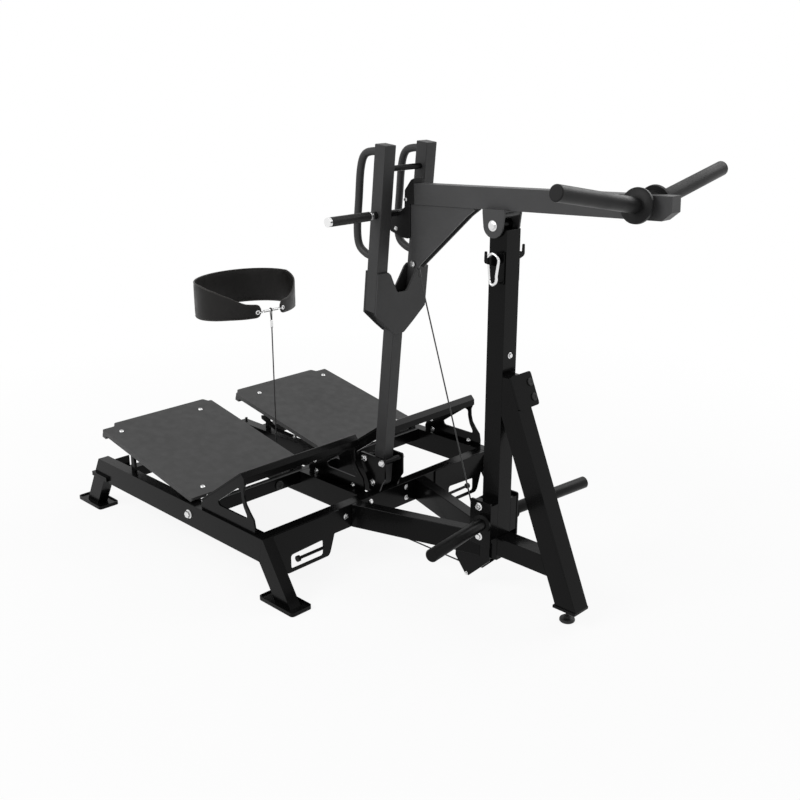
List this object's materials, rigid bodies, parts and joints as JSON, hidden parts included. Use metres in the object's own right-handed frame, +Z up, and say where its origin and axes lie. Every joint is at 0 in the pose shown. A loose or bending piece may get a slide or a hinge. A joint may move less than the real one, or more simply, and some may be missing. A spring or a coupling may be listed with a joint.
{
  "type": "belt squat machine",
  "caption": "Lever-loaded belt squat machine: tilting foot decks, swing-back lock mast, weight lever with plate horns, and a cable under pulleys to a waist belt.",
  "frame": {"origin": "middle of the length and width, on the floor", "axes": "+X towards the weight horns, +Y to the lifter's left as they face the mast, +Z up"},
  "size_m": [2.6034, 1.392, 1.6727],
  "materials": {
    "paint": "gloss black powder coat",
    "satin": "satin charcoal powder coat",
    "decking": "matt rubber-faced deck",
    "rubber": "smooth black rubber",
    "steel": "bright plated",
    "cable": "black jacketed wire rope",
    "pulley": "black nylon",
    "leather": "dark smooth leather"
  },
  "bodies": {
    "frame": {"rear_cross_member": "paint", "mid_cross_member": "paint", "front_cross_member": "paint", "upright": "paint", "lower_strut": "paint", "rear_stay": "paint", "stop_plate": "paint", "pulley_housing": "paint", "centre_pulley_bracket": "paint", "mast_bracket": "paint", "near_side_rail": "paint", "near_rear_leg": "paint", "near_front_leg": "paint", "near_inner_rail": "paint", "near_handle_plate": "paint", "near_v_brace": "paint", "near_storage_bracket": "paint", "near_hook": "paint", "near_toe_rest": "paint", "far_side_rail": "paint", "far_rear_leg": "paint", "far_front_leg": "paint", "far_inner_rail": "paint", "far_handle_plate": "paint", "far_v_brace": "paint", "far_storage_bracket": "paint", "far_hook": "paint", "far_toe_rest": "paint", "upright_bumper": "rubber", "low_cable": "cable", "near_storage_horn": "satin", "far_storage_horn": "satin"},
    "lever": {"lever_beam": "satin", "lever_pivot_bolt": "steel", "gusset": "satin", "lock_hook": "satin", "near_weight_horn": "satin", "far_weight_horn": "satin", "lever_cable": "cable"},
    "mast": {"mast_tube": "satin", "mast_fork": "satin", "near_mast_upright": "satin", "far_mast_upright": "satin", "near_d_handle": "satin", "far_d_handle": "satin", "mast_crossbar": "satin", "grip_bar": "steel", "grip_sleeve": "rubber"},
    "foot_wheel": {"foot_pulley": "pulley"},
    "centre_wheel": {"centre_pulley": "pulley"},
    "near_platform": {"near_deck": "decking"},
    "far_platform": {"far_deck": "decking"},
    "near_prop_frame": {"near_prop": "paint"},
    "far_prop_frame": {"far_prop": "paint"},
    "clip": {"carabiner": "steel"},
    "clip_gate": {"carabiner_gate": "steel"},
    "foot_screw": {"levelling_foot": "rubber"},
    "waist_belt": {"belt": "leather", "belt_link": "steel", "belt_cable": "cable"}
  },
  "joints": [
    {"name": "lever_pivot", "type": "hinge", "parent": "frame", "child": "lever", "pos_m": [0.63183, 0, 1.418], "axis": [0, 1, 0], "range_deg": [-55, 0], "deforming": ["lever_cable"]},
    {"name": "mast_pivot", "type": "hinge", "parent": "frame", "child": "mast", "pos_m": [0.02983, 0, 0.283], "axis": [0, 1, 0], "range_deg": [-11.5, 0]},
    {"name": "belt_travel", "type": "slide", "parent": "frame", "child": "waist_belt", "axis": [0, 0, 1], "range_m": [0, 0.31], "deforming": ["belt_cable"]},
    {"name": "foot_pulley_spin", "type": "hinge", "parent": "frame", "child": "foot_wheel", "pos_m": [0.54283, 0, 0.106], "axis": [0, 1, 0], "range_deg": [0, 356]},
    {"name": "centre_pulley_spin", "type": "hinge", "parent": "frame", "child": "centre_wheel", "pos_m": [-0.62517, 0, 0.106], "axis": [0, 1, 0], "range_deg": [0, 356]},
    {"name": "near_deck_tilt", "type": "hinge", "parent": "frame", "child": "near_platform", "pos_m": [-0.41217, -0.368, 0.199], "axis": [0, 1, 0], "range_deg": [0, 12]},
    {"name": "near_prop_fold", "type": "hinge", "parent": "near_platform", "child": "near_prop_frame", "pos_m": [-0.87034, -0.368, 0.31677], "axis": [0, 1, 0], "range_deg": [0, 70]},
    {"name": "far_deck_tilt", "type": "hinge", "parent": "frame", "child": "far_platform", "pos_m": [-0.41217, 0.368, 0.199], "axis": [0, 1, 0], "range_deg": [0, 12]},
    {"name": "far_prop_fold", "type": "hinge", "parent": "far_platform", "child": "far_prop_frame", "pos_m": [-0.87034, 0.368, 0.31677], "axis": [0, 1, 0], "range_deg": [0, 70]},
    {"name": "carabiner_swing", "type": "hinge", "parent": "frame", "child": "clip", "pos_m": [0.64933, -0.068, 1.319], "axis": [0, 1, 0], "range_deg": [-12, 12]},
    {"name": "gate_open", "type": "hinge", "parent": "clip", "child": "clip_gate", "pos_m": [0.63863, -0.068, 1.2376], "axis": [0, 1, 0], "range_deg": [0, 9], "stiffness_Nm_per_rad": 0.05},
    {"name": "levelling_foot_turn", "type": "hinge", "parent": "frame", "child": "foot_screw", "pos_m": [0.99583, 0, 0.03], "axis": [0, 0, 1], "continuous": true}
  ],
  "couplings": [
    {"joint": "belt_travel", "follows": "lever_pivot", "m_per_rad": -0.322},
    {"joint": "foot_pulley_spin", "follows": "lever_pivot", "ratio": -6.44},
    {"joint": "centre_pulley_spin", "follows": "lever_pivot", "ratio": -6.44}
  ]
}
